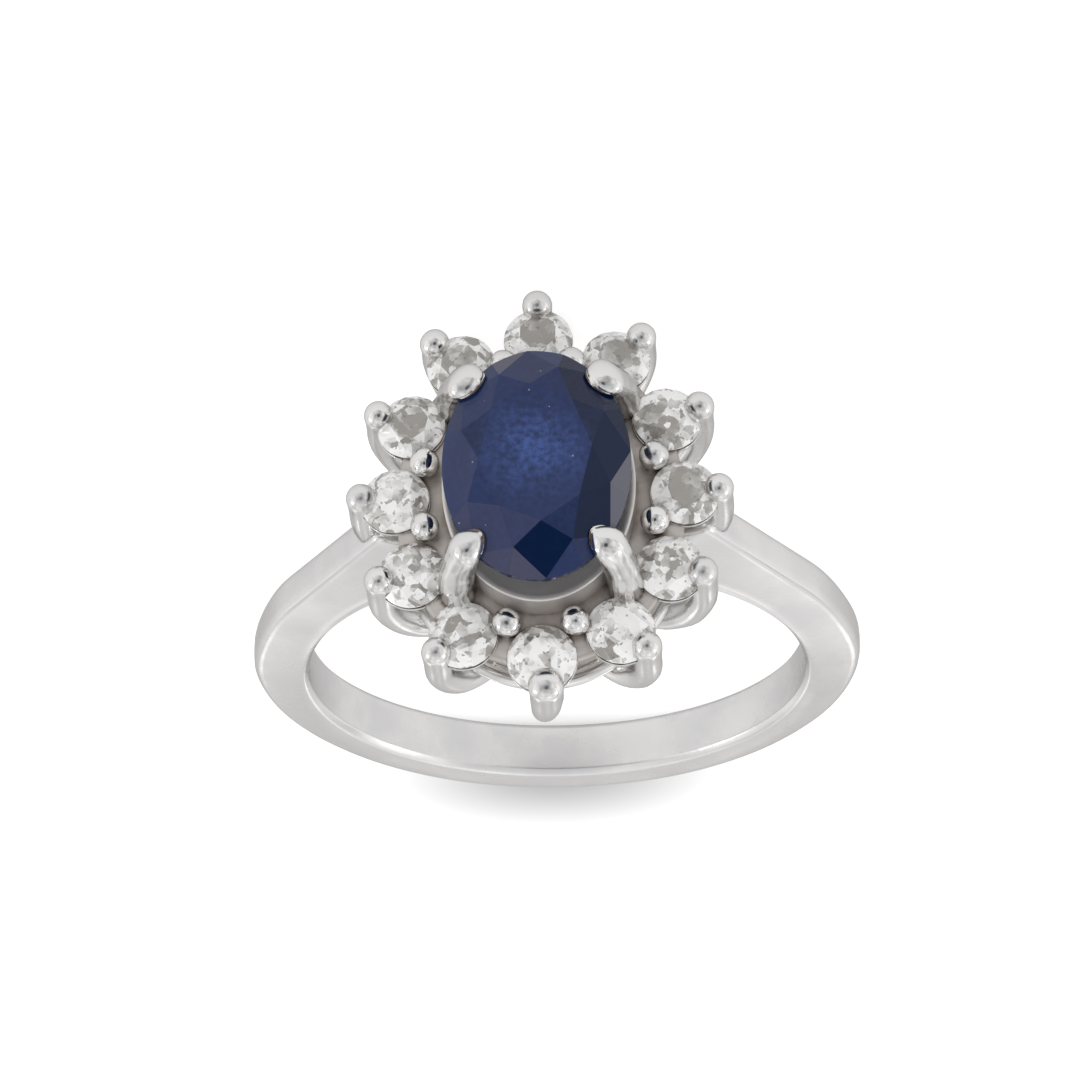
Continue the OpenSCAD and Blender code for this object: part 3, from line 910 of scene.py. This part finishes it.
def buildStone(name, cut, spin):
    r = cut["radius"]
    top = cut["girdle"] * 2 * r
    starR = cut["table"] * r + (1 - cut["table"]) * r * cut["star"]
    eighth = math.pi / 4

    def rise(d, turn, deg):
        return (r - d * math.cos(turn)) * math.tan(math.radians(deg))

    points = []
    for i in range(8):
        a, b = i * eighth, (i + 0.5) * eighth
        points.append((cut["table"] * r, a, top + rise(cut["table"] * r, 0, cut["crownDeg"])))
        points.append((starR, b, top + rise(starR, eighth / 2, cut["crownDeg"])))
        points.append((cut["lower"] * r, b, -rise(cut["lower"] * r, eighth / 2, cut["pavilionDeg"])))
        points.append((cut["culet"] * r, a, -rise(cut["culet"] * r, 0, cut["pavilionDeg"])))
    for i in range(16):
        for z in (0, top):
            points.append((r, i * eighth / 2, z))
    rough = bmesh.new()
    for d, a, z in points:
        rough.verts.new(Vector((d * math.cos(a + spin), d * math.sin(a + spin) * cut["stretch"], z)))
    bmesh.ops.convex_hull(rough, input=rough.verts)
    bmesh.ops.dissolve_limit(rough, angle_limit=math.radians(cut["flatDeg"]), verts=rough.verts, edges=rough.edges)
    planes = [(face.verts[0].co.copy(), face.normal.copy()) for face in rough.faces
              if abs(face.normal.z) > cut["upright"]]
    rough.free()
    # the facets are cut from a drum, so the girdle stays round
    work = bmesh.new()
    drum = [circlePoints(r, cut["around"], z, stretch=cut["stretch"]) for z in (-2 * r, 2 * r)]
    corners = [work.verts.new(p) for p in drum[0] + drum[1]]
    for face in ringFaces(drum, closeAlong=False):
        work.faces.new([corners[i] for i in face])
    for spot, normal in planes:
        bmesh.ops.bisect_plane(work, geom=[*work.verts, *work.edges, *work.faces], dist=1e-6, plane_co=spot,
                               plane_no=normal, clear_outer=True)
        rim = [e for e in work.edges if e.is_boundary]
        if rim:
            bmesh.ops.holes_fill(work, edges=rim, sides=0)
    mesh = bpy.data.meshes.new(name)
    work.to_mesh(mesh)
    work.free()
    return mesh


paintedFacetTones = {
    # painted reflections, counted round from the right: how pale each crown facet of the large stone looks, 0 dark
    # and clear, 1 pale grey
    "spin": 5, "side": 0.3, "flat": 0.99, "rimFrom": 0.88, "kiteDeg": 8,
    "table": 0.50,
    "kites": [0.0, 0.22, 0.62, 0.50, 0.62, 0.64, 0.0, 0.08],
    "stars": [0.26, 0.48, 0.52, 0.38, 0.48, 0.64, 0.40, 0.06],
    "rims": [0.08, 0.08, 0.24, 0.56, 0.86, 0.50, 0.40, 0.52, 0.58, 0.66, 0.70, 0.78, 0.46, 0.42, 0.95, 1.0],
    "under": 0.25,
    # painted reflections: how grey the table of each small stone looks, and how much its other facets differ
    "smallTables": [0.8, 0.6, 0.4, 0.72, 0.5, 0.05, 0.25, 0.5, 0.4, 0.3, 0.68, 0.65], "smallSpread": 0.5,
    "seed": 11,
}


def paintFacets(mesh, cut, toneOf):
    layer = mesh.attributes.new("paintedFacetTone", "FLOAT", "FACE")
    for face in mesh.polygons:
        x, y = face.center.x / cut["radius"], face.center.y / cut["radius"] / cut["stretch"]
        layer.data[face.index].value = toneOf(face, math.hypot(x, y), math.degrees(math.atan2(y, x)) % 360)


def sapphireTone(face, reach, angle):
    angle = (angle - paintedFacetTones["spin"]) % 360
    eighth, half = 45, 22.5
    if face.normal.z < paintedFacetTones["side"]:
        return paintedFacetTones["under"]
    if face.normal.z > paintedFacetTones["flat"]:
        return paintedFacetTones["table"]
    if reach > paintedFacetTones["rimFrom"]:
        return paintedFacetTones["rims"][int(angle / half) % 16]
    if abs((angle + half) % eighth - half) < paintedFacetTones["kiteDeg"]:
        return paintedFacetTones["kites"][round(angle / eighth) % 8]
    return paintedFacetTones["stars"][int(angle / eighth) % 8]


def diamondTone(k):
    def toneOf(face, reach, angle):
        if face.normal.z > paintedFacetTones["flat"]:
            return paintedFacetTones["smallTables"][k]
        return random.uniform(0, paintedFacetTones["smallSpread"])
    return toneOf


sapphireMesh = buildStone("sapphire", sapphire, math.radians(paintedFacetTones["spin"]))
paintFacets(sapphireMesh, sapphire, sapphireTone)
sapphireMesh.transform(Matrix.Translation((0, 0, layout["ovalZ"])))
addPiece("ovalSapphire", sapphireMesh, blueSapphire, ["sapphire"], smooth=False)
random.seed(paintedFacetTones["seed"])
for k in range(stoneCount):
    mesh = buildStone("roundDiamond", diamond, random.uniform(0, math.pi / 4))
    paintFacets(mesh, diamond, diamondTone(k))
    mesh.transform(atStone(k))
    addPiece(f"roundDiamond_{k + 1:02d}", mesh, clearDiamond, [f"diamond_{k + 1:02d}"], smooth=False)


# how closed in each point of the metal is, by rays cast round it, kept as an attribute for the painted shade in
# hollows and at contacts

occlusionShade = {"reach": 1.6 * mm, "rays": 20, "lift": 0.02 * mm}


def markOcclusionShades():
    points, faces = [], []
    for piece in pieces:
        start = len(points)
        points += [v.co.copy() for v in piece.data.vertices]
        faces += [tuple(start + i for i in p.vertices) for p in piece.data.polygons]
    tree = BVHTree.FromPolygons(points, faces)
    golden = math.pi * (3 - math.sqrt(5))
    rays = []
    for i in range(occlusionShade["rays"]):
        z = math.sqrt((i + 0.5) / occlusionShade["rays"])
        wide = math.sqrt(1 - z * z)
        rays.append(Vector((wide * math.cos(golden * i), wide * math.sin(golden * i), z)))
    for piece in pieces:
        mesh = piece.data
        if mesh.materials[0] not in allGold:
            continue
        layer = mesh.attributes.new("occlusionShade", "FLOAT", "POINT")
        for vert in mesh.vertices:
            turn = Vector((0, 0, 1)).rotation_difference(vert.normal)
            start = vert.co + vert.normal * occlusionShade["lift"]
            total = 0
            for ray in rays:
                hit = tree.ray_cast(start, turn @ ray, occlusionShade["reach"])
                if hit[0]:
                    total += 1 - hit[3] / occlusionShade["reach"]
            layer.data[vert.index].value = total / len(rays)


markOcclusionShades()
print("crevices marked")


# camera

cameraSet = {
    "azimuth": 5.126, "elevation": 64.911, "roll": -6.36, "distance": 240, "lens": 244.384,
    "aim": (0, 0, 5), "aimRight": -0.332, "aimUp": 1.567, "sensor": 36, "clip": (0.01, 20),
}


def buildCamera():
    c = cameraSet
    az, el, roll = (math.radians(c[key]) for key in ("azimuth", "elevation", "roll"))
    back = Vector((math.sin(az) * math.cos(el), -math.cos(az) * math.cos(el), math.sin(el)))
    level = (-back).cross(Vector((0, 0, 1))).normalized()
    rise = level.cross(-back)
    right = math.cos(roll) * level + math.sin(roll) * rise
    up = -math.sin(roll) * level + math.cos(roll) * rise
    spot = Vector(c["aim"]) + right * c["aimRight"] + up * c["aimUp"] + back * c["distance"]
    data = bpy.data.cameras.new("camera")
    data.lens = c["lens"]
    data.sensor_width = c["sensor"]
    data.clip_start, data.clip_end = c["clip"]
    camera = bpy.data.objects.new("camera", data)
    turned = ringTurn @ Matrix((right, up, back)).transposed()
    camera.matrix_world = Matrix.Translation(layDown @ spot) @ turned.to_4x4()
    bpy.context.collection.objects.link(camera)
    bpy.context.scene.camera = camera
    return ringTurn @ back


towardCamera = buildCamera()


# floor, lights and surroundings

floorSet = {
    "half": 3.0, "tone": 0.5, "toneSwing": 0.01, "toneScale": 6, "rough": 0.9, "gloss": 0.1,
    "glowMirrored": 0.30, "glowSeen": 0.78,
    # painted shadow: the floor's colour and glow are darkened in a soft oval behind the band
    "paintedShadow": 0.62, "paintedShadowAt": (0.5, 13.6), "paintedShadowReach": (8.6, 4.4),  # soft shade behind the band
}
lightSet = [
    # name, place, size, power, tone
    ("topLight", (0.03, -0.22, 0.30), 0.12, 0.40, (1, 1, 1)),
    ("leftLight", (-0.34, 0.06, 0.22), 0.08, 0.08, (1, 0.99, 0.98)),
    ("rightLight", (0.34, 0.02, 0.22), 0.08, 0.08, (1, 1, 1)),
    ("leftEdgeLight", (-0.20, 0.50, 0.04), 0.12, 0.04, (1, 1, 1)),
    ("rightEdgeLight", (0.24, 0.50, 0.03), 0.12, 0.035, (1, 1, 1)),
]
lightAim = 7 * mm  # height of the point that the lights face
unmirrored = ["topLight"]
surround = {
    # from behind the object round to the camera, by the cosine of the angle to it
    "tones": [(0.0, (0.88, 0.875, 0.87, 1)), (0.45, (0.92, 0.92, 0.915, 1)), (0.85, (0.62, 0.62, 0.63, 1)),
              (0.970, (0.42, 0.42, 0.44, 1)), (0.985, (0.05, 0.05, 0.05, 1))],
    "cloudScale": 2.4, "cloudSpread": (0.35, 0.65), "cloudTone": (0.58, 1.25),
}


def buildFloor():
    f = floorSet
    material, tree, shader = newMaterial("paleFloor")
    place = readPlace(tree)
    tone = remap(tree, addNoise(tree, place, f["toneScale"]), (0, 1),
                 (f["tone"] - f["toneSwing"], f["tone"] + f["toneSwing"]))
    # painted shadow: a soft dark oval behind the band, multiplied into the floor's colour and its glow
    moved = addNode(tree, "ShaderNodeMapping", {
        "Vector": place, "Location": (f["paintedShadowAt"][0] * mm, f["paintedShadowAt"][1] * mm, 0),
        "Scale": (f["paintedShadowReach"][0] * mm, f["paintedShadowReach"][1] * mm, 1)}, vector_type="TEXTURE")
    away = addNode(tree, "ShaderNodeVectorMath", {0: moved.outputs["Vector"]}, operation="LENGTH")
    paintedShadow = remap(tree, away.outputs["Value"], (0, 1), (1 - f["paintedShadow"], 1), "SMOOTHSTEP")
    seen = addNode(tree, "ShaderNodeLightPath").outputs["Is Camera Ray"]
    glow = remap(tree, seen, (0, 1), (f["glowMirrored"], f["glowSeen"]))
    fillSockets(tree, shader, {
        "Base Color": calculate(tree, "MULTIPLY", tone, paintedShadow), "Roughness": f["rough"],
        "Specular IOR Level": f["gloss"], "Emission Color": (1, 1, 1, 1),
        "Emission Strength": calculate(tree, "MULTIPLY", glow, paintedShadow)})
    h = f["half"]
    mesh = meshFrom("floor", [(-h, -h, 0), (h, -h, 0), (h, h, 0), (-h, h, 0)], [(0, 1, 2, 3)])
    mesh.materials.append(material)
    floor = bpy.data.objects.new("floor", mesh)
    bpy.context.collection.objects.link(floor)


def buildLights():
    target = Vector((0, 0, lightAim))
    for name, place, size, power, tone in lightSet:
        data = bpy.data.lights.new(name, "AREA")
        data.shape = "DISK"
        data.size = size
        data.energy = power
        data.color = tone
        light = bpy.data.objects.new(name, data)
        light.visible_glossy = name not in unmirrored
        light.location = place
        light.rotation_euler = (target - Vector(place)).to_track_quat("-Z", "Y").to_euler()
        bpy.context.collection.objects.link(light)


def buildSurround():
    world = bpy.data.worlds.new("surround")
    world.use_nodes = True
    tree = world.node_tree
    place = readPlace(tree, "Generated")
    toward = addNode(tree, "ShaderNodeVectorMath", {0: place, 1: towardCamera}, operation="DOT_PRODUCT")
    cloud = addNoise(tree, place, surround["cloudScale"])
    fillSockets(tree, tree.nodes["Background"], {
        "Color": toneRamp(tree, toward.outputs["Value"], surround["tones"]),
        "Strength": remap(tree, cloud, surround["cloudSpread"], surround["cloudTone"])})
    bpy.context.scene.world = world


buildFloor()
buildLights()
buildSurround()
bpy.context.scene.view_settings.view_transform = "Standard"
bpy.context.scene.view_settings.look = "None"
print("stage ready")
